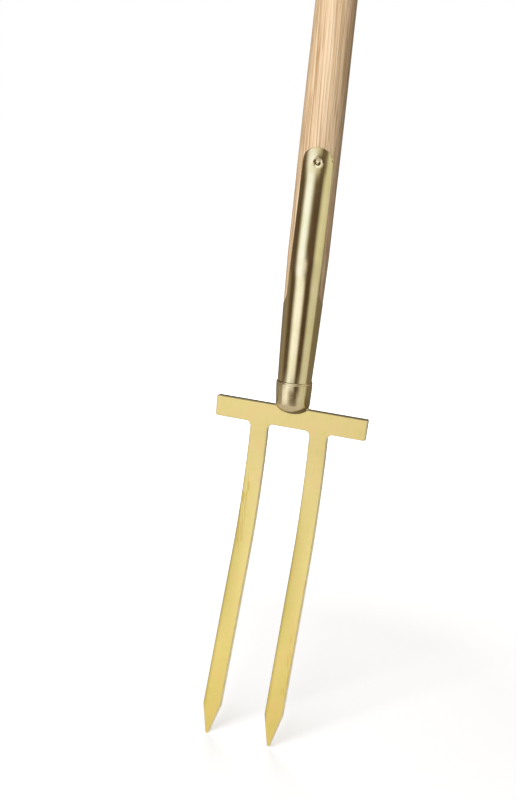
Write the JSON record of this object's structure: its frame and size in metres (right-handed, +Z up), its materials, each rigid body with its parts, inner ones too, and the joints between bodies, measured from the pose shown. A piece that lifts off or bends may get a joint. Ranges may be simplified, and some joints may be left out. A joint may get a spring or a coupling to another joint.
{
  "type": "border fork",
  "caption": "Two-tined border fork: bronze tines and cross plate, domed bronze collar, rolled bronze socket with riveted straps, ash shaft and T-grip.",
  "frame": {"origin": "middle of the cross plate's lower edge, between the tines, on the handle's axis", "axes": "+Z up the handle, the front that the tines sweep towards is -Y, +X along the cross plate"},
  "size_m": [0.142, 0.0735, 1.1216],
  "materials": {
    "ground_bronze_plate": "ground, satin",
    "cast_bronze": "turned and brushed",
    "polished_bronze_sheet": "polished",
    "braze": "as brazed",
    "bronze_pin": "satin",
    "oiled_ash": "sanded and oiled",
    "beech_wedge": "end grain, oiled"
  },
  "bodies": {
    "root": {"fork_head": "ground_bronze_plate", "collar": "cast_bronze", "braze_left": "braze", "braze_right": "braze", "socket": "polished_bronze_sheet", "rivet": "polished_bronze_sheet", "shaft": "oiled_ash", "grip": "oiled_ash", "grip_wedge": "beech_wedge", "grip_pin": "bronze_pin"}
  },
  "joints": []
}
